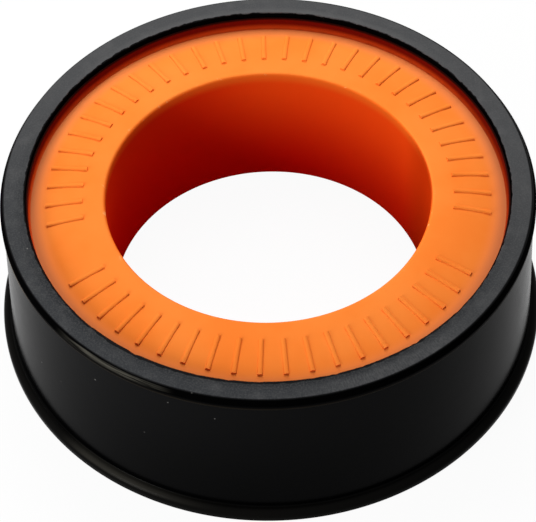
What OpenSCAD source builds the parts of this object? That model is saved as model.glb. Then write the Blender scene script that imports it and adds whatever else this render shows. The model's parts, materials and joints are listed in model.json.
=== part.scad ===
// Thread seal tape roll: a moulded spool with its wound tape, sitting in a snap-on cup-shaped shell.
// Every radius grows outward from the spool's bore, and every height grows upward from the shell's foot.

/* [Tape] */
// Width of the tape
tape_w = 12; // [8:0.5:25]
// Thickness of the tape
tape_t = 0.075; // [0.05:0.005:0.15]
// Length of tape on a full roll, in metres
tape_length_m = 10; // [6:0.5:16]
// Angle that the free end covers on the outside of the roll
tail_angle = 55; // [20:1:120]
// Slack between the wound tape and its free end
tail_slack = 0.1; // [0.05:0.01:0.3]
// Room between the tape's edges and the walls beside them
tape_side_room = 0.15; // [0.1:0.01:0.5]

/* [Spool] */
// Diameter of the bore through the spool
bore_d = 31; // [24:0.5:40]
// Wall of the hub that the tape is wound on
hub_wall = 0.9; // [0.8:0.05:2]
// Step from the hub down to the spigot that sits in the shell's floor
spigot_step = 0.35; // [0.2:0.05:0.5]
// How far the spigot's end stays above the underside of the shell's floor
spigot_lift = 0.1; // [0:0.05:0.5]
// Rounding of the bore's top edge
bore_round = 0.35; // [0.1:0.05:0.6]
// Chamfer at the bore's lower edge
bore_chamfer = 0.25; // [0.1:0.05:0.35]
// Fillet between the hub and the flange
hub_fillet = 0.1; // [0.05:0.01:0.14]
// Thickness of the flange at its outer edge
flange_t = 0.6; // [0.5:0.05:2]
// Rise of the flange's rounded face from its outer edge to the bore
face_crown = 0.9; // [0.1:0.05:1.2]
// Reach of the flange past the tape's free end
flange_reach = 0.2; // [0.1:0.05:1]
// Height of the upturned edge around the flange
edge_h = 1.4; // [0.6:0.05:1.8]
// Thickness of the upturned edge at its top
edge_t = 0.12; // [0.1:0.01:0.4]
// Radius of the hollow that runs from the face into the upturned edge
edge_hollow = 0.2; // [0.1:0.05:0.5]

/* [Shell] */
// Height of the floor's underside above the foot that the shell stands on
floor_lift = 1; // [0.4:0.05:1.2]
// Thickness of the shell's floor
floor_t = 1.2; // [1:0.05:2]
// Wall of the shell, measured across
wall_t = 1.3; // [1:0.05:1.8]
// Growth of the wall's radius from the rim down to the foot
wall_flare = 0.65; // [0.2:0.05:1.5]
// Width of the flat land on top of the rim
rim_land = 1.95; // [1.6:0.05:3]
// Height of the rim above the spool's upturned edge
rim_above = 0.6; // [0.2:0.05:1.5]
// Depth of the rim's inside face
rim_depth = 1.6; // [1:0.05:2]
// Small chamfer at the rim's inside edge
rim_chamfer = 0.12; // [0.05:0.01:0.3]
// Height of the bead around the rim's outside
bead_h = 1.2; // [1.1:0.05:2]
// Reach of the bead past the land
bead_reach = 0.45; // [0.3:0.05:0.5]
// Lean of the bead's shoulder, which slopes from the land down to the bead's widest part
bead_lean = 30; // [30:1:45]
// Rounding of the edge between the land and the bead's shoulder
land_round = 0.15; // [0.05:0.01:0.2]
// Rounding of the bead's lower edge
bead_round = 0.15; // [0.05:0.01:0.2]
// Overhang of the bead over the wall
bead_over = 0.2; // [0.1:0.05:0.4]
// Reach of the foot flange past the wall
foot_reach = 0.9; // [0.9:0.05:2]
// Height of the foot flange
foot_h = 1.3; // [1.1:0.05:2]
// Rounding of the foot flange's upper edge
foot_round = 0.75; // [0.3:0.05:0.75]
// Rounding of the foot flange's lower edge
foot_ease = 0.25; // [0.1:0.05:0.35]
// Fillets where the wall meets the foot and where the floor meets the wall
root_fillet = 0.15; // [0.05:0.01:0.15]

/* [Fits] */
// Radial clearance of every fit between the spool and the shell
turn_clear = 0.05; // [0.02:0.01:0.1]
// Radial clearance between the hub and the wound tape
wind_clear = 0.05; // [0.02:0.01:0.2]

/* [Hidden] */
$fn = 96;

// Points in each quarter of a rounded edge
ARC_STEPS = 4;
MM_PER_M = 1000;
SHELL_BLACK = [0.05, 0.05, 0.055];
SPOOL_ORANGE = [0.93, 0.42, 0.12];
TAPE_WHITE = [0.94, 0.94, 0.92];

// Radii, from the bore outward
bore_r = bore_d / 2;
hub_r = bore_r + hub_wall;
spigot_r = hub_r - spigot_step;
floor_hole_r = spigot_r + turn_clear;
wind_r = hub_r + wind_clear;
roll_r = sqrt(wind_r * wind_r + tape_length_m * MM_PER_M * tape_t / PI);
tail_r = roll_r + tail_slack;
flange_r = tail_r + tape_t + flange_reach;
rim_r = flange_r + turn_clear;
land_r = rim_r + rim_land;
bead_r = land_r + bead_reach;
wall_top_r = bead_r - bead_over;
wall_foot_r = wall_top_r + wall_flare;
foot_r = wall_foot_r + foot_reach;

// Heights, from the foot upward
floor_z = floor_lift + floor_t;
tape_z = floor_z + tape_side_room;
flange_z = tape_z + tape_w + tape_side_room;
face_z = flange_z + flange_t;
crown_z = face_z + face_crown;
edge_z = face_z + edge_h;
rim_z = edge_z + rim_above;
shoulder_drop = (bead_reach - land_round * cos(bead_lean)) / tan(bead_lean);
shoulder_z = rim_z - land_round * (1 - sin(bead_lean)) - shoulder_drop;
bead_z = rim_z - bead_h;
rim_under_z = rim_z - rim_depth;

// Points on an arc around [x, y], from angle a to angle b
function arc(x, y, r, a, b) =
    [for (i = [0:ARC_STEPS]) let (t = a + (b - a) * i / ARC_STEPS) [x + r * cos(t), y + r * sin(t)]];

// The points of a row without its two ends
function between_ends(points) = [for (i = [1:len(points) - 2]) points[i]];

// Cup with a flared wall, a sloping bead at the rim, an inward rim, and a rounded foot under a raised floor
module shell() {
    wall_inside_r = wall_top_r - wall_t;
    floor_inside_r = wall_foot_r - wall_t;
    rim_ledge = wall_inside_r - rim_r;
    color(SHELL_BLACK) rotate_extrude() polygon(concat(
        [[floor_hole_r, floor_lift]],
        arc(floor_inside_r - root_fillet, floor_lift - root_fillet, root_fillet, 90, 0),
        [[floor_inside_r, 0]],
        arc(foot_r - foot_ease, foot_ease, foot_ease, -90, 0),
        arc(foot_r - foot_round, foot_h - foot_round, foot_round, 0, 90),
        arc(wall_foot_r + root_fillet, foot_h + root_fillet, root_fillet, 270, 180),
        [[wall_top_r, bead_z - bead_over]],
        arc(bead_r - bead_round, bead_z + bead_round, bead_round, -45, 0),
        [[bead_r, shoulder_z]],
        arc(land_r, rim_z - land_round, land_round, bead_lean, 90),
        [[rim_r + rim_chamfer, rim_z], [rim_r, rim_z - rim_chamfer]],
        [[rim_r, rim_under_z], [wall_inside_r, rim_under_z - rim_ledge]],
        arc(floor_inside_r - root_fillet, floor_z + root_fillet, root_fillet, 0, -90),
        [[floor_hole_r, floor_z]]
    ));
}

// Hub with a bore, a shouldered spigot, and one flange with a crowned face and an upturned edge
module spool() {
    edge_inside_r = flange_r - edge_t;
    hollow_r = edge_inside_r - edge_hollow;
    spigot_z = floor_lift + spigot_lift;
    face_start_r = bore_r + bore_round;
    face_w = hollow_r - face_start_r;
    face_arc_r = (face_w * face_w + face_crown * face_crown) / (2 * face_crown);
    face_span = asin(face_w / face_arc_r);
    color(SPOOL_ORANGE) rotate_extrude() polygon(concat(
        [[bore_r, spigot_z + bore_chamfer], [bore_r + bore_chamfer, spigot_z]],
        [[spigot_r, spigot_z], [spigot_r, floor_z], [hub_r, floor_z]],
        arc(hub_r + hub_fillet, flange_z - hub_fillet, hub_fillet, 180, 90),
        [[flange_r, flange_z], [flange_r, edge_z], [edge_inside_r, edge_z]],
        arc(hollow_r, face_z + edge_hollow, edge_hollow, 0, -90),
        between_ends(arc(face_start_r, crown_z - face_arc_r, face_arc_r, 90 - face_span, 90)),
        arc(face_start_r, crown_z - bore_round, bore_round, 90, 180)
    ));
}

// Tape wound on the hub: its many turns lie tight, so they make one ring
module tape_winding() {
    color(TAPE_WHITE) rotate_extrude() translate([wind_r, tape_z]) square([roll_r - wind_r, tape_w]);
}

// Free end of the tape, lying along the outside of the roll
module tape_tail() {
    color(TAPE_WHITE) rotate_extrude(angle = tail_angle) translate([tail_r, tape_z]) square([tape_t, tape_w]);
}

shell();
spool();
tape_winding();
tape_tail();
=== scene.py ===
import json
import math

import bmesh
import bpy
from mathutils import Matrix, Vector, noise


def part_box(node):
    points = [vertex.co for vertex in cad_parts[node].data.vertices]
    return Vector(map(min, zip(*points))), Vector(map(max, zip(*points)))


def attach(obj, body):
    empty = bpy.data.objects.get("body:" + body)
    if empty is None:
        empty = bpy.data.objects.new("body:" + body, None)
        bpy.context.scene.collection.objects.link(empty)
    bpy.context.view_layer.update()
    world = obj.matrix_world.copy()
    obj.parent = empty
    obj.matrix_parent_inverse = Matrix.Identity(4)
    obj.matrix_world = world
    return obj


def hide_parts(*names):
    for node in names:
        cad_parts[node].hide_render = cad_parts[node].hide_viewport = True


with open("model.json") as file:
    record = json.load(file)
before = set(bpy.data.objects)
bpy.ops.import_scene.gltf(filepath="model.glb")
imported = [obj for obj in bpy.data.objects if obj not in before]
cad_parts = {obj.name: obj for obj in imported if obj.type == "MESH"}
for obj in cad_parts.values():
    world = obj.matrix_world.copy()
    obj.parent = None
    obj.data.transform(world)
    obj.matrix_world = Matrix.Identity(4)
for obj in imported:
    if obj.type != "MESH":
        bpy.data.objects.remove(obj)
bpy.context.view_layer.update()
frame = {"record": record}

# Camera. The picture looks steeply down into the roll from in front, through a long lens from about 21 cm
# away, and it leans a little to one side. It aims below the middle of the rim.
MM = 0.001
PICTURE_W = 536
SENSOR_W = 36.0
shell_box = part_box("shell")
rim_z = shell_box[1].z
view_tilt = math.radians(50.82)
view_lean = math.radians(1.64)
view_distance = 212.1 * MM
view_start = 10 * MM
focal_px = 2241
aim_right = -0.18 * MM
aim_up = -7.26 * MM

back = Vector((0, -math.cos(view_tilt), math.sin(view_tilt)))
right = Vector((1, 0, 0))
up = back.cross(right)
camera_right = right * math.cos(view_lean) - up * math.sin(view_lean)
camera_up = right * math.sin(view_lean) + up * math.cos(view_lean)
camera_place = Vector((0, 0, rim_z)) + right * aim_right + up * aim_up + back * view_distance
camera = bpy.data.objects.new("camera", bpy.data.cameras.new("camera"))
camera.data.sensor_width = SENSOR_W
camera.data.lens = focal_px * SENSOR_W / PICTURE_W
camera.data.clip_start = view_start
turned = Matrix((camera_right, camera_up, back)).transposed().to_4x4()
camera.matrix_world = Matrix.Translation(camera_place) @ turned
bpy.context.scene.collection.objects.link(camera)
bpy.context.scene.camera = camera

# Shell. A cup moulded in black plastic: a flared wall between a sloping bead and a rounded foot, a rim
# turned in over the spool, and a raised floor with a hole. The rim's flat land is scuffed grey with some
# flash at its opening and has painted light and shade on it; the bead has a dull shoulder over a faint
# parting line, and painted highlights lie on the bead's lower edge at the left and on the bead and foot at
# the near left.
ROUND_STEPS = 8
LATHE_STEPS = 360
CRISP_ANGLE = math.radians(35)
foot_r = shell_box[1].x
floor_hole_r = 16.1 * MM
floor_lift = 1.0 * MM
floor_z = floor_lift + 1.2 * MM
foot_h = 1.3 * MM
foot_round = 0.75 * MM
foot_ease = 0.25 * MM
root_fillet = 0.15 * MM
wall_foot_r = foot_r - 0.9 * MM
wall_top_r = wall_foot_r - 0.65 * MM
wall_t = 1.3 * MM
wall_inside_r = wall_top_r - wall_t
floor_inside_r = wall_foot_r - wall_t
bead_over = 0.2 * MM
bead_round = 0.15 * MM
bead_r = wall_top_r + bead_over
bead_z = rim_z - 1.2 * MM
bead_reach = 0.45 * MM
bead_lean = 30
land_r = bead_r - bead_reach
land_round = 0.15 * MM
lean = math.radians(bead_lean)
shoulder_drop = (bead_reach - land_round * math.cos(lean)) / math.tan(lean)
shoulder_z = rim_z - land_round * (1 - math.sin(lean)) - shoulder_drop
rim_r = land_r - 1.95 * MM
rim_chamfer = 0.12 * MM
rim_under_z = rim_z - 1.6 * MM
flash_size = 0.16 * MM
flash_pitch = 0.7 * MM
flash_start = 0.12


def rounded(r, z, radius, start, end):
    """Points (radius, height) along a rounded edge, between two angles in degrees."""
    angles = [math.radians(start + (end - start) * i / ROUND_STEPS) for i in range(ROUND_STEPS + 1)]
    return [(r + radius * math.cos(a), z + radius * math.sin(a)) for a in angles]


def skin(shape, rings):
    """Joins each ring of points to the next one with four-sided faces."""
    for ring, following in zip(rings, rings[1:]):
        for index in range(len(ring)):
            after = (index + 1) % len(ring)
            shape.faces.new((ring[index], following[index], following[after], ring[after]))


def smooth_piece(name, shape):
    """Turns a bmesh into an object with smooth faces and crisp edges."""
    mesh = bpy.data.meshes.new(name)
    shape.to_mesh(mesh)
    shape.free()
    mesh.shade_smooth()
    mesh.set_sharp_from_angle(angle=CRISP_ANGLE)
    piece = bpy.data.objects.new(name, mesh)
    bpy.context.scene.collection.objects.link(piece)
    return piece


def lathe(name, outline, shift=None):
    """A closed ring turned from an outline of (radius, height); shift moves each point by its own rule."""
    shape = bmesh.new()
    rings = []
    for step in range(LATHE_STEPS):
        turn = 2 * math.pi * step / LATHE_STEPS
        across = Vector((math.cos(turn), math.sin(turn), 0))
        places = [across * r + Vector((0, 0, z)) for r, z in outline]
        if shift:
            places = [shift(index, place, across) for index, place in enumerate(places)]
        rings.append([shape.verts.new(place) for place in places])
    skin(shape, rings + rings[:1])
    bmesh.ops.recalc_face_normals(shape, faces=shape.faces)
    return smooth_piece(name, shape)


shell_outline = [(floor_hole_r, floor_lift)]
shell_outline += rounded(floor_inside_r - root_fillet, floor_lift - root_fillet, root_fillet, 90, 0)
shell_outline += [(floor_inside_r, 0)]
shell_outline += rounded(foot_r - foot_ease, foot_ease, foot_ease, -90, 0)
shell_outline += rounded(foot_r - foot_round, foot_h - foot_round, foot_round, 0, 90)
shell_outline += rounded(wall_foot_r + root_fillet, foot_h + root_fillet, root_fillet, 270, 180)
shell_outline += [(wall_top_r, bead_z - bead_over)]
shell_outline += rounded(bead_r - bead_round, bead_z + bead_round, bead_round, -45, 0)
shell_outline += [(bead_r, shoulder_z)]
shell_outline += rounded(land_r, rim_z - land_round, land_round, bead_lean, 90)
rim_edge = len(shell_outline)
shell_outline += [(rim_r + rim_chamfer, rim_z), (rim_r, rim_z - rim_chamfer)]
shell_outline += [(rim_r, rim_under_z), (wall_inside_r, rim_under_z - (wall_inside_r - rim_r))]
shell_outline += rounded(floor_inside_r - root_fillet, floor_z + root_fillet, root_fillet, 0, -90)
shell_outline += [(floor_hole_r, floor_z)]


def rim_flash(index, place, across):
    """Leaves the rim's inside edge a little ragged in places, always away from the spool."""
    if index not in (rim_edge, rim_edge + 1):
        return place
    ragged = noise.noise(place / flash_pitch) + 0.5 * noise.noise(place / flash_pitch * 3)
    return place + across * flash_size * max(0, ragged - flash_start)


shell = lathe("moulded_shell", shell_outline, rim_flash)


class Shade:
    """A socket in a material's or a shape's node tree. Python's operators on it add Math nodes."""

    def __init__(self, tree, socket):
        self.tree = tree
        self.socket = socket

    def make(self, kind, settings=None, inputs=None, out=0):
        """Adds a node of any kind: its settings first, then the values or links of its sockets."""
        added = self.tree.nodes.new(kind)
        for name, value in (settings or {}).items():
            setattr(added, name, value)
        for name, value in (inputs or {}).items():
            if isinstance(value, Shade):
                value.feed(added, name)
            else:
                added.inputs[name].default_value = value
        return Shade(self.tree, added.outputs[out])

    def feed(self, node, name):
        """Links this to an input of a node."""
        self.tree.links.new(self.socket, node.inputs[name])

    def other(self, out):
        """Another output of the same node."""
        return Shade(self.tree, self.socket.node.outputs[out])

    def math(self, operation, *values):
        """A Math node on one or two values."""
        return self.make("ShaderNodeMath", {"operation": operation}, dict(enumerate(values)))

    def __add__(self, value):
        return self.math("ADD", self, value)

    def __radd__(self, value):
        return self.math("ADD", value, self)

    def __sub__(self, value):
        return self.math("SUBTRACT", self, value)

    def __rsub__(self, value):
        return self.math("SUBTRACT", value, self)

    def __mul__(self, value):
        return self.math("MULTIPLY", self, value)

    def __rmul__(self, value):
        return self.math("MULTIPLY", value, self)

    def __truediv__(self, value):
        return self.math("DIVIDE", self, value)

    def __pow__(self, value):
        return self.math("POWER", self, value)

    def vector(self, x, y=0.0, z=0.0):
        """A vector of three values, in the same tree."""
        return self.make("ShaderNodeCombineXYZ", None, {0: x, 1: y, 2: z})

    def split(self):
        """This vector's x, y and z, and its distance from the z axis."""
        x = self.make("ShaderNodeSeparateXYZ", None, {0: self})
        y = x.other(1)
        return x, y, x.other(2), (x * x + y * y) ** 0.5

    def rise(self, low, high):
        """0 below low, 1 above high, and an even S between them. High may be the smaller one."""
        inputs = {"Value": self, "From Min": low, "From Max": high}
        return self.make("ShaderNodeMapRange", {"interpolation_type": "SMOOTHSTEP"}, inputs)

    def band(self, start, full, fading, end):
        """0 up to start, 1 from full to fading, and 0 again past end."""
        return self.rise(start, full) * self.rise(end, fading)

    def sector(self, *degrees):
        """The same band of an angle, with its four places in degrees."""
        return self.band(*[math.radians(angle) for angle in degrees])

    def blend(self, first, second):
        """The first colour where this is 0 and the second where it is 1."""
        return self.make("ShaderNodeMix", {"data_type": "RGBA"}, {0: self, 6: first, 7: second}, 2)

    def grain(self, size, detail=2.0, roughness=0.5):
        """Noise with a grain of about the given size, on this vector."""
        inputs = {"Vector": self, "Scale": 1 / size, "Detail": detail, "Roughness": roughness}
        return self.make("ShaderNodeTexNoise", None, inputs)

    def specks(self, pitch):
        """Distance to the nearest of scattered points about that far apart, in units of that pitch."""
        return self.make("ShaderNodeTexVoronoi", None, {"Vector": self, "Scale": 1 / pitch})

    def bump(self, depth, strength):
        """A normal raised by this height, of the given full depth."""
        return self.make("ShaderNodeBump", None, {"Strength": strength, "Distance": depth, "Height": self})


def plastic(name):
    """A new material: itself, its shader, and its Object coordinates."""
    material = bpy.data.materials.new(name)
    material.use_nodes = True
    tree = material.node_tree
    coordinates = tree.nodes.new("ShaderNodeTexCoord")
    return material, tree.nodes["Principled BSDF"], Shade(tree, coordinates.outputs["Object"])


def coated(colour, coats):
    """A colour with others laid over it in order, each by its own share from 0 to 1."""
    for share, tone in coats:
        colour = share.blend(colour, tone)
    return colour


def two_finishes(material, shader, surface, matt_share):
    """Feeds the shader, and a second one without any shine that takes over where the share is 1."""
    tree = material.node_tree
    matt_shader = tree.nodes.new("ShaderNodeBsdfPrincipled")
    matt_shader.inputs["Specular IOR Level"].default_value = 0.0
    for finish in (shader, matt_shader):
        for name, value in surface.items():
            value.feed(finish, name)
    shiny, matt = [Shade(tree, finish.outputs["BSDF"]) for finish in (shader, matt_shader)]
    both = matt_share.make("ShaderNodeMixShader", None, {0: matt_share, 1: shiny, 2: matt})
    both.feed(tree.nodes["Material Output"], "Surface")


# The shell's colours, and the sizes of its marks. The refractive index is low because the floor and the
# room are white in reflections. The land's outer edge lies a little to the left, by its shift times the
# radius. Streaks are squeezed across the land and upward, and along it they run this far for each radian.
WALL_LOW_SHADED = (0.0008, 0.0008, 0.0009, 1)
WALL_HIGH = (0.0055, 0.0055, 0.0058, 1)
FOOT_BLACK = (0.0052, 0.0049, 0.0045, 1)
SHOULDER_BLACK = (0.0010, 0.0010, 0.0011, 1)
LAND_DARK = (0.034, 0.036, 0.039, 1)
LAND_PAINTED_LIT = (0.061, 0.062, 0.064, 1)
LAND_INNER_SHADE = (0.019, 0.020, 0.022, 1)
SCUFF_AND_HIGHLIGHT_GREY = (0.105, 0.104, 0.104, 1)
HIGHLIGHT_GREY = (0.085, 0.080, 0.066, 1)
PARTING_AND_HIGHLIGHT_TAN = (0.30, 0.22, 0.13, 1)
DUST = (0.35, 0.34, 0.32, 1)
SHELL_IOR = 1.062
SHOULDER_MATT = 0.93
shell_mottle = 1.6 * MM
shell_grain = 0.16 * MM
shell_relief = 0.02 * MM
chip_size = 0.7 * MM
chip_depth = 0.4 * MM
near_shade_line_w = 0.26 * MM
left_shade_line_w = 0.08 * MM
near_land_reach = 0.05 * MM
land_shift = 0.0018
land_lit_side = math.radians(75)
streak_across = 9
streak_along = 6 * MM
streak_up = 6
scuff_size = 1.1 * MM
bead_highlight_size = 0.8 * MM
brush_along = 90 * MM
brush_size = 0.5 * MM
dust_pitch = 1.9 * MM
dust_patch = 5 * MM

shell_black, shader, place = plastic("shell_black")
x, y, z, radius = place.split()
turn = y.math("ARCTAN2", y, x)
near_side = (y / land_r).rise(-0.3, -0.9)
left_half = (x / land_r).rise(0.3, -0.6)
highlight_left_end = (x / land_r).rise(-0.86, -0.97)

# Where the parts of the shell are. The land starts after a chipped black line beside the opening, which is
# painted shade, wider at the near side and the left.
chipped = place.grain(chip_size, 3) - 0.5
from_opening = radius - near_shade_line_w * near_side - left_shade_line_w * left_half - chip_depth * chipped
land_start = from_opening.rise(rim_r + 0.03 * MM, rim_r + 0.10 * MM)
to_shoulder = radius + x * land_shift - near_land_reach * near_side
land_end = to_shoulder.rise(land_r + 0.05 * MM, land_r - 0.09 * MM)
on_land = z.rise(rim_z - 0.11 * MM, rim_z - 0.05 * MM) * land_start * land_end
# Painted light on the land: paler towards the back right, where the back lamp falls on it.
towards_lit_side = x * math.cos(land_lit_side) + y * math.sin(land_lit_side)
painted_lit_land = (towards_lit_side / land_r).rise(-0.9, 0.4)
# Painted shade: the land darker near the opening, away from the lit side.
inner_land_shade = radius.rise(rim_r + 1.2 * MM, rim_r + 0.3 * MM) * (1 - painted_lit_land)
# Painted highlight: the land paler at its far inner edge.
far_inner_land_highlight = radius.rise(rim_r + 0.9 * MM, rim_r + 0.3 * MM) * (y / land_r).rise(0.4, 0.9)
on_shoulder = z.band(bead_z, bead_z + 0.15 * MM, rim_z - 0.12 * MM, rim_z - 0.06 * MM)
on_slope = on_shoulder * z.rise(shoulder_z - 0.1 * MM, shoulder_z + 0.05 * MM)
on_lower_bead = z.band(rim_z - 0.72 * MM, rim_z - 0.50 * MM, rim_z - 0.28 * MM, rim_z - 0.17 * MM)
on_parting = z.band(bead_z + 0.02 * MM, bead_z + 0.12 * MM, bead_z + 0.24 * MM, bead_z + 0.34 * MM)
on_foot = z.rise(foot_h + 0.1 * MM, foot_h - 0.1 * MM)
on_foot_round = z.rise(foot_h - 0.42 * MM, foot_h - 0.18 * MM) * on_foot

# Marks on the shell: scuffs along the land, a brushed patch at the near right that is also painted light,
# and dust; and painted highlights on the bead and the foot's round top at the near left.
mottle = place.grain(shell_mottle, 4, 0.6)
fine = place.grain(shell_grain, 3, 0.6)
streak = place.vector(radius * streak_across, turn * streak_along, z * streak_up)
scuffs = streak.grain(scuff_size, 5, 0.7).rise(0.56, 0.80) * on_land
brushed = place.vector(radius, turn * brush_along).grain(brush_size, 4, 0.65).rise(0.3, 0.7)
# The brushed patch is partly painted light: paler on the outer land at the near right.
brushed_lit_patch = turn.sector(-88, -72, -55, -38) * radius.rise(rim_r + 0.5 * MM, rim_r + 1.2 * MM) * brushed
# Painted highlights: a pale stretch on the bead and on the foot's round top at the near left.
bead_highlight = turn.sector(-141, -131, -119, -110) * on_lower_bead * radius.rise(land_r, land_r + 0.1 * MM)
bead_highlight = bead_highlight * streak.grain(bead_highlight_size, 4).rise(0.3, 0.62)
foot_highlight = turn.sector(-141, -131, -125, -100) * on_foot_round
dust = place.specks(dust_pitch).rise(0.055, 0.03) * place.grain(dust_patch).rise(0.56, 0.64)

land_grey = coated(LAND_DARK, [(painted_lit_land, LAND_PAINTED_LIT), (inner_land_shade * 0.8, LAND_INNER_SHADE)])
colour = coated(WALL_LOW_SHADED, [
    # Painted shade: the wall darker towards the foot, for the shadowed floor it would mirror.
    (z.rise(foot_h, rim_z), WALL_HIGH),
    (on_foot, FOOT_BLACK),
    (foot_highlight * 0.32, HIGHLIGHT_GREY),
    (on_land, land_grey),
    (mottle.rise(0.45, 0.75) * on_land * 0.28, SCUFF_AND_HIGHLIGHT_GREY),
    (fine.rise(0.42, 0.72) * on_land * 0.35, SCUFF_AND_HIGHLIGHT_GREY),
    (scuffs * 0.5, SCUFF_AND_HIGHLIGHT_GREY),
    (brushed_lit_patch * on_land * 0.55, SCUFF_AND_HIGHLIGHT_GREY),
    (far_inner_land_highlight * on_land * 0.4, SCUFF_AND_HIGHLIGHT_GREY),
    (on_shoulder, SHOULDER_BLACK),
    # A faint line at the bead's lower edge, with a painted highlight on it at the left end.
    (on_parting * (0.03 + 0.6 * highlight_left_end), PARTING_AND_HIGHLIGHT_TAN),
    (bead_highlight, HIGHLIGHT_GREY),
    (dust * 0.45, DUST),
])
roughness = 0.16 + 0.44 * on_land + 0.24 * on_shoulder + 0.10 * mottle - 0.08 * scuffs
relief = (fine * (0.25 + 0.75 * on_land) + mottle * 0.5).bump(shell_relief, 0.6)
shader.inputs["IOR"].default_value = SHELL_IOR
surface = {"Base Color": colour, "Roughness": roughness, "Normal": relief}
two_finishes(shell_black, shader, surface, on_slope * SHOULDER_MATT)
shell.data.materials.append(shell_black)
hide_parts("shell")
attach(shell, "shell")

# Spool. A hub and one flange moulded in waxy orange plastic, which drops into the shell. Its face is
# rounded and highest at the bore. A thin edge stands up around it, painted dark red for the shade beside
# the rim; the matt bore has painted shade that makes it redder with depth, and knocks leave pale nicks
# along its upper edge.
spool_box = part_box("spool")
bore_r = frame["record"]["mounts"][0]["dims"]["r_mm"] * MM
hub_r = bore_r + 0.9 * MM
spigot_r = hub_r - 0.35 * MM
spigot_z = spool_box[0].z
bore_chamfer = 0.25 * MM
bore_round = 0.35 * MM
hub_fillet = 0.1 * MM
flange_r = spool_box[1].x
edge_z = spool_box[1].z
face_crown = 0.9 * MM
face_z = edge_z - 1.4 * MM
flange_z = face_z - 0.6 * MM
crown_z = face_z + face_crown
edge_inside_r = flange_r - 0.12 * MM
edge_hollow = 0.2 * MM
hollow_r = edge_inside_r - edge_hollow
face_start_r = bore_r + bore_round
face_w = hollow_r - face_start_r
face_arc_r = (face_w ** 2 + face_crown ** 2) / (2 * face_crown)
face_span = math.degrees(math.asin(face_w / face_arc_r))

spool_outline = [(bore_r, spigot_z + bore_chamfer), (bore_r + bore_chamfer, spigot_z)]
spool_outline += [(spigot_r, spigot_z), (spigot_r, floor_z), (hub_r, floor_z)]
spool_outline += rounded(hub_r + hub_fillet, flange_z - hub_fillet, hub_fillet, 180, 90)
spool_outline += [(flange_r, flange_z), (flange_r, edge_z), (edge_inside_r, edge_z)]
spool_outline += rounded(hollow_r, face_z + edge_hollow, edge_hollow, 0, -90)
spool_outline += rounded(face_start_r, crown_z - face_arc_r, face_arc_r, 90 - face_span, 90)[1:-1]
spool_outline += rounded(face_start_r, crown_z - bore_round, bore_round, 90, 180)
spool = lathe("moulded_spool", spool_outline)

ORANGE = (0.95, 0.228, 0.032, 1)
ORANGE_PALE = (0.96, 0.250, 0.040, 1)
ORANGE_DEEP = (0.93, 0.205, 0.025, 1)
PAINTED_SHEEN = (0.93, 0.262, 0.080, 1)
GREYED_SHADE = (0.55, 0.160, 0.055, 1)
EDGE_LOW = (0.54, 0.058, 0.008, 1)
EDGE_HIGH = (0.13, 0.0045, 0.0012, 1)
EDGE_TOP = (0.02, 0.003, 0.002, 1)
BORE_RIM_LIT = (0.95, 0.160, 0.015, 1)
BORE_TOP = (0.94, 0.080, 0.006, 1)
BORE_LOW = (0.78, 0.006, 0.002, 1)
BORE_SIDE = (0.58, 0.036, 0.002, 1)
NICK = (0.97, 0.45, 0.17, 1)
SPOOL_IOR = 1.05
cloud_size = 7 * MM
spool_grain = 0.22 * MM
spool_relief = 0.012 * MM
nick_size = 0.9 * MM

spool_orange, shader, place = plastic("spool_orange")
x, y, z, radius = place.split()
cloud = place.grain(cloud_size, 3, 0.55)
fine = place.grain(spool_grain, 3, 0.6)

# The bore with painted light and shade: redder and darker with depth and on the left, and darker at the far
# right; a painted highlight makes its upper edge bright.
in_bore = radius.rise(bore_r + 0.20 * MM, bore_r + 0.04 * MM)
at_bore_edge = radius.rise(bore_r + 0.55 * MM, bore_r + 0.1 * MM) * z.rise(crown_z - 0.5 * MM, crown_z)
nicks = place.grain(nick_size, 3, 0.7).rise(0.62, 0.70) * at_bore_edge
bore_x = x / bore_r
bore_y = y / bore_r
bore_right_lit = bore_x.rise(0.1, 0.8) * (0.2 + 0.3 * bore_y.rise(0.3, -0.2))
bore_far_right_shade = bore_x.rise(0.86, 0.99) * bore_y.rise(-0.25, 0.0)
bore_shaded_red = coated(BORE_TOP, [
    (z.rise(crown_z, spigot_z) * (1 - bore_right_lit), BORE_LOW),
    (bore_x.rise(0.1, -0.6) * 0.6, BORE_LOW),
    (z.rise(crown_z - 1.5 * MM, crown_z - 0.2 * MM), BORE_RIM_LIT),
    (bore_far_right_shade * 0.85, BORE_SIDE),
])

# The thin edge, painted in shade: dark red on its inside, darker up towards its top and on the right, and
# plain orange on the outside below its top.
edge_outside = radius.rise(flange_r - 0.012 * MM, flange_r - 0.003 * MM)
edge_outside = edge_outside * z.rise(edge_z - 0.05 * MM, edge_z - 0.25 * MM)
on_edge = radius.rise(hollow_r - 0.03 * MM, hollow_r + 0.07 * MM) * (1 - edge_outside)
edge_shaded_red = coated(EDGE_LOW, [
    (z.rise(face_z, face_z + 0.75 * MM), EDGE_HIGH),
    ((x / hollow_r).rise(0.75, 0.97) * 0.6, EDGE_HIGH),
    (z.rise(edge_z - 0.3 * MM, edge_z - 0.05 * MM), EDGE_TOP),
])

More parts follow.
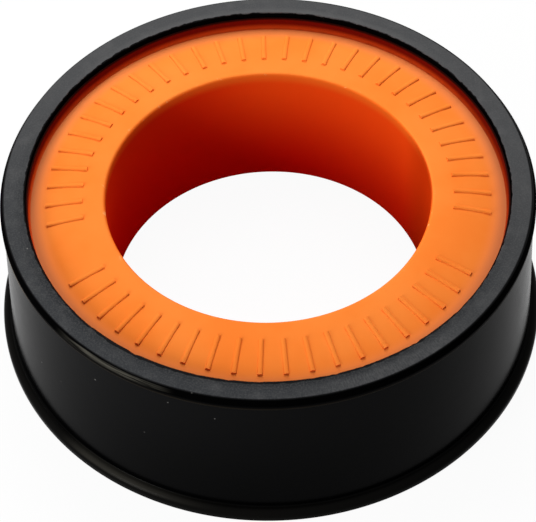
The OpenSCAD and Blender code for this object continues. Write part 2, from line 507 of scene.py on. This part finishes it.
# The face, with a painted pale sheen in a ring beside the edge, and painted shade greying that ring apart
# from the far side.
sheen_ring = radius.rise(hollow_r - 1.9 * MM, hollow_r - 0.2 * MM)
near_edge_shade = radius.rise(hollow_r - 1.2 * MM, hollow_r) * (y / hollow_r).rise(0.75, 0.1)
colour = coated(ORANGE, [
    (cloud.rise(0.35, 0.7), ORANGE_PALE),
    (cloud.rise(0.5, 0.25) * 0.5, ORANGE_DEEP),
    # Painted sheen beside the edge.
    (sheen_ring * 0.85, PAINTED_SHEEN),
    # Painted shade: the outer face greyed on the near side.
    (near_edge_shade * (1 - edge_outside), GREYED_SHADE),
    (on_edge, edge_shaded_red),
    (in_bore, bore_shaded_red),
    (nicks * 0.8, NICK),
])
roughness = 0.40 + 0.16 * cloud + 0.1 * fine
relief = (fine * 0.6 + cloud).bump(spool_relief, 0.5)
shader.inputs["IOR"].default_value = SPOOL_IOR
surface = {"Base Color": colour, "Roughness": roughness, "Normal": relief}
two_finishes(spool_orange, shader, surface, in_bore)
spool.data.materials.append(spool_orange)
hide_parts("spool")
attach(spool, "spool")

# Marks on the spool's face. Plain raised strokes moulded with the flange, in one long arc over the bore
# and a shorter one under it. Each is a thin bar along the radius with round ends, half sunk in the face.
# An arc is given by its first and last bar, in degrees, and its number of bars.
MARK_STEPS = 13
MARK_SIDES = 12
MARK_BLUNTNESS = 8
mark_arcs = {"upper": (-8, 188, 31), "lower": (209, 331, 20)}
mark_middle_r = 19.4 * MM
mark_length = 3.6 * MM
mark_w = 0.5 * MM
mark_h = 0.14 * MM
mark_slope = math.asin((mark_middle_r - face_start_r) / face_arc_r)
mark_z = crown_z - face_arc_r * (1 - math.cos(mark_slope))


def open_tree(name, sizes, counts):
    """A new geometry tree with named inputs for sizes, counts and a finish: itself and those inputs."""
    tree = bpy.data.node_groups.new(name, "GeometryNodeTree")
    kinds = {"NodeSocketFloat": sizes, "NodeSocketInt": counts, "NodeSocketMaterial": ["Finish"]}
    for kind, labels in kinds.items():
        for label in labels:
            tree.interface.new_socket(label, in_out="INPUT", socket_type=kind)
    tree.interface.new_socket("Geometry", in_out="OUTPUT", socket_type="NodeSocketGeometry")
    source = tree.nodes.new("NodeGroupInput")
    return tree, {output.name: Shade(tree, output) for output in source.outputs if output.name}


def swept(curve, section):
    """A bar with closed ends: the section carried along the curve."""
    inputs = {"Curve": curve, "Profile Curve": section, "Fill Caps": True}
    return curve.make("GeometryNodeCurveToMesh", None, inputs)


def close_tree(tree, shape, finish):
    """Ends a geometry tree: makes its instances real and gives them their finish."""
    real = shape.make("GeometryNodeRealizeInstances", None, {"Geometry": shape})
    finished = shape.make("GeometryNodeSetMaterial", None, {"Geometry": real, "Material": finish})
    finished.feed(tree.nodes.new("NodeGroupOutput"), "Geometry")


def marks_tree():
    """Geometry nodes that scale a bar of unit size and set it along an arc, pointing at its middle."""
    labels = ["Start", "End", "Middle Radius", "Height", "Slope", "Length", "Width", "Rise"]
    tree, size = open_tree("face_marks", labels, ["Count"])
    count = size["Count"]
    reach = size["Middle Radius"]
    line = count.make("GeometryNodeMeshLine", None, {"Count": count})
    index = line.make("GeometryNodeInputIndex")
    turn = size["Start"] + (size["End"] - size["Start"]) * index / (count - 1)
    spot = turn.vector(reach * turn.math("COSINE", turn), reach * turn.math("SINE", turn), size["Height"])
    points = line.make("GeometryNodeSetPosition", None, {"Geometry": line, "Position": spot})

    ends = {"Start": (-0.5, 0, 0), "End": (0.5, 0, 0)}
    bar_line = line.make("GeometryNodeCurvePrimitiveLine", None, ends)
    bar_line = line.make("GeometryNodeResampleCurve", None, {"Curve": bar_line, "Count": MARK_STEPS})
    from_middle = line.make("GeometryNodeSplineParameter") * 2 - 1
    swell = (1 - from_middle.math("ABSOLUTE", from_middle) ** MARK_BLUNTNESS) ** 0.5
    bar_line = line.make("GeometryNodeSetCurveRadius", None, {"Curve": bar_line, "Radius": swell})
    section = line.make("GeometryNodeCurvePrimitiveCircle", None, {"Resolution": MARK_SIDES, "Radius": 0.5})
    bar = line.make("GeometryNodeSetShadeSmooth", None, {"Geometry": swept(bar_line, section)})

    scale = turn.vector(size["Length"], size["Width"], size["Rise"] * 2)
    lie = turn.vector(0.0, size["Slope"], turn)
    inputs = {"Points": points, "Instance": bar, "Rotation": lie, "Scale": scale}
    close_tree(tree, line.make("GeometryNodeInstanceOnPoints", None, inputs), size["Finish"])
    return tree


def grown(name, tree, values):
    """A plain mesh object from a geometry tree and the values of its named inputs."""
    maker = bpy.data.objects.new(name, bpy.data.meshes.new(name + "_start"))
    bpy.context.scene.collection.objects.link(maker)
    modifier = maker.modifiers.new("grow", "NODES")
    modifier.node_group = tree
    sockets = {item.name: item.identifier for item in tree.interface.items_tree if item.in_out == "INPUT"}
    for socket, value in values.items():
        modifier[sockets[socket]] = value
    bpy.context.view_layer.update()
    seen = maker.evaluated_get(bpy.context.evaluated_depsgraph_get())
    mesh = bpy.data.meshes.new_from_object(seen)
    maker.modifiers.remove(modifier)
    maker.data = mesh
    return maker


mark_tree = marks_tree()
for name, (start, end, count) in mark_arcs.items():
    values = {"Start": math.radians(start), "End": math.radians(end), "Count": count}
    values |= {"Middle Radius": mark_middle_r, "Height": mark_z, "Slope": mark_slope}
    values |= {"Length": mark_length, "Width": mark_w, "Rise": mark_h, "Finish": spool_orange}
    marks = grown(name + "_face_marks", mark_tree, values)
    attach(marks, "spool")

# Wound tape. One long strip of soft white film, wound tight on the hub in whole turns, each layer over
# the last. Its edges wander a little up and down, about once in one and a half turns, so the sides of the
# roll show fine rings.
SPIRAL_STEPS = 72
TAPE_SEED = 3
SEED_STEP = 7.3
winding_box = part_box("tape_winding")
tape_z = winding_box[0].z
tape_w = winding_box[1].z - winding_box[0].z
roll_r = winding_box[1].x
wind_r = hub_r + 0.05 * MM
tape_t = 0.075 * MM
tape_turns = math.floor((roll_r - wind_r) / tape_t - 1)
edge_wander = 0.05 * MM
wander_turns = 1 / 0.7


def winding_tree():
    """Geometry nodes that carry the tape's section along a flat spiral, each turn a little up or down."""
    labels = ["Turns", "Inner Radius", "Outer Radius", "Middle Height"]
    labels += ["Width", "Thickness", "Wander", "Pitch"]
    tree, size = open_tree("tape_winding", labels, ["Seed"])
    turns = size["Turns"]
    inputs = {"Resolution": SPIRAL_STEPS, "Rotations": turns, "Height": 0.0, "Reverse": True}
    inputs |= {"Start Radius": size["Inner Radius"], "End Radius": size["Outer Radius"]}
    spiral = turns.make("GeometryNodeCurveSpiral", None, inputs)
    where = turns.make("GeometryNodeInputPosition")
    reach = turns.make("ShaderNodeVectorMath", {"operation": "LENGTH"}, {0: where}, 1)
    uneven = turns.vector(reach / size["Pitch"], size["Seed"] * SEED_STEP).grain(wander_turns) - 0.5
    lift = turns.vector(0.0, 0.0, size["Middle Height"] + uneven * size["Wander"] * 2)
    spiral = turns.make("GeometryNodeSetPosition", None, {"Geometry": spiral, "Offset": lift})
    inputs = {"Width": size["Thickness"], "Height": size["Width"]}
    section = turns.make("GeometryNodeCurvePrimitiveQuadrilateral", None, inputs)
    close_tree(tree, swept(spiral, section), size["Finish"])
    return tree


TAPE_WHITE = (0.80, 0.80, 0.78, 1)
TAPE_SHADE = (0.66, 0.66, 0.65, 1)
layer_grain = 0.15 * MM
crease_size = 2.5 * MM
tape_relief = 0.02 * MM

tape_film, shader, place = plastic("tape_film")
radius = place.split()[-1]
layers = place.vector(radius).grain(layer_grain, 3, 0.7)
crease = place.grain(crease_size, 3, 0.5)
(layers.rise(0.35, 0.65) * 0.7 + crease * 0.3).blend(TAPE_SHADE, TAPE_WHITE).feed(shader, "Base Color")
(0.55 + 0.2 * crease).feed(shader, "Roughness")
(layers + crease * 2).bump(tape_relief, 0.7).feed(shader, "Normal")

values = {"Turns": tape_turns, "Inner Radius": wind_r + tape_t / 2, "Outer Radius": roll_r - tape_t / 2}
values |= {"Middle Height": tape_z + tape_w / 2, "Width": tape_w - 2 * edge_wander, "Thickness": tape_t}
values |= {"Wander": edge_wander, "Pitch": tape_t, "Seed": TAPE_SEED, "Finish": tape_film}
winding = grown("wound_tape", winding_tree(), values)
winding.data.shade_smooth()
winding.data.set_sharp_from_angle(angle=CRISP_ANGLE)
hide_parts("tape_winding")
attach(winding, "spool")

# Free end of the tape. The last stretch of the same film, cut square with a knife, lying loose along the
# outside of the roll. A slight wave in it runs through so many radians along the end and up its width.
TAIL_STEPS = 66
TAIL_ROWS = 12
tail_angle = math.radians(55)
tail_r = roll_r + 0.1 * MM
tail_wave = 0.05 * MM
wave_along = 9
wave_upward = 1.3

shape = bmesh.new()
loops = []
for step in range(TAIL_STEPS + 1):
    along = step / TAIL_STEPS
    turn = tail_angle * along
    loop = []
    for thickness, rows in ((0, range(TAIL_ROWS + 1)), (tape_t, range(TAIL_ROWS, -1, -1))):
        for row in rows:
            upward = row / TAIL_ROWS
            wave = tail_wave * (0.5 + 0.5 * math.sin(along * wave_along + upward * wave_upward))
            reach = tail_r + thickness + wave
            spot = (reach * math.cos(turn), reach * math.sin(turn), tape_z + tape_w * upward)
            loop.append(shape.verts.new(spot))
    loops.append(loop)
skin(shape, loops)
for loop in (loops[0], loops[-1]):
    for row in range(TAIL_ROWS):
        shape.faces.new((loop[row], loop[row + 1], loop[-2 - row], loop[-1 - row]))
bmesh.ops.recalc_face_normals(shape, faces=shape.faces)
tail = smooth_piece("tape_free_end", shape)
tail.data.materials.append(tape_film)
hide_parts("tape_tail")
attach(tail, "tape_end")

# Floor. A wide sheet of white card, just under the shell's foot. It is white to the camera and in
# reflections, with the roll's own shadow on it, and throws little light back up.
FLOOR_WHITE = (0.92, 0.92, 0.92, 1)
FLOOR_BOUNCE = (0.10, 0.10, 0.10, 1)
PURE_WHITE = (1, 1, 1, 1)
FLOOR_GLOW = 0.95
FLOOR_ROUGHNESS = 0.9
card_half = 3.0
card_z = -0.05 * MM

shape = bmesh.new()
corners = [(-1, -1), (1, -1), (1, 1), (-1, 1)]
shape.faces.new([shape.verts.new((card_half * side, card_half * end, card_z)) for side, end in corners])
floor = smooth_piece("floor", shape)


def shown_rays(tree):
    """1 for rays that show a surface to the camera, straight or by way of a reflection or a clear piece."""
    camera_ray = Shade(tree, tree.nodes.new("ShaderNodeLightPath").outputs["Is Camera Ray"])
    straight_or_mirrored = camera_ray.math("MAXIMUM", camera_ray, camera_ray.other("Is Glossy Ray"))
    return camera_ray.math("MAXIMUM", straight_or_mirrored, camera_ray.other("Is Transmission Ray"))


floor_card, shader, _ = plastic("floor_card")
shown = shown_rays(floor_card.node_tree)
shown.blend(FLOOR_BOUNCE, FLOOR_WHITE).feed(shader, "Base Color")
shader.inputs["Roughness"].default_value = FLOOR_ROUGHNESS
shader.inputs["Specular IOR Level"].default_value = 0.0
glow = shown.make("ShaderNodeEmission", None, {"Color": PURE_WHITE, "Strength": 1.0})
card = Shade(floor_card.node_tree, shader.outputs["BSDF"])
mixed = shown.make("ShaderNodeMixShader", None, {0: shown * FLOOR_GLOW, 1: card, 2: glow})
mixed.feed(floor_card.node_tree.nodes["Material Output"], "Surface")
floor.data.materials.append(floor_card)

# Light. A large soft box stands close behind the roll and above it, and a small one low at the front left
# brings out the wall; their places and sizes are in metres. The room around is white to the camera and in
# reflections, and gives a dim even fill.
FILL_STRENGTH = 0.20


def soft_box(name, position, target, width, height, watts):
    """A rectangular lamp that faces a point."""
    lamp = bpy.data.lights.new(name, "AREA")
    lamp.shape = "RECTANGLE"
    lamp.size = width
    lamp.size_y = height
    lamp.energy = watts
    holder = bpy.data.objects.new(name, lamp)
    holder.location = position
    holder.rotation_euler = (Vector(target) - Vector(position)).to_track_quat("-Z", "Y").to_euler()
    holder.visible_camera = False
    bpy.context.scene.collection.objects.link(holder)


soft_box(
    "back_soft_box", position=(-0.008, 0.09, 0.14), target=(0, 0, 0.01),
    width=0.12, height=0.14, watts=0.28,
)
soft_box(
    "front_left_soft_box", position=(-0.135, -0.120, 0.070), target=(0, 0, 0.012),
    width=0.05, height=0.10, watts=0.22,
)

world = bpy.data.worlds.new("white_room")
world.use_nodes = True
bpy.context.scene.world = world
backdrop = world.node_tree.nodes["Background"]
backdrop.inputs["Color"].default_value = PURE_WHITE
shown = shown_rays(world.node_tree)
(FILL_STRENGTH + (1 - FILL_STRENGTH) * shown).feed(backdrop, "Strength")

bpy.context.scene.view_settings.view_transform = "Standard"
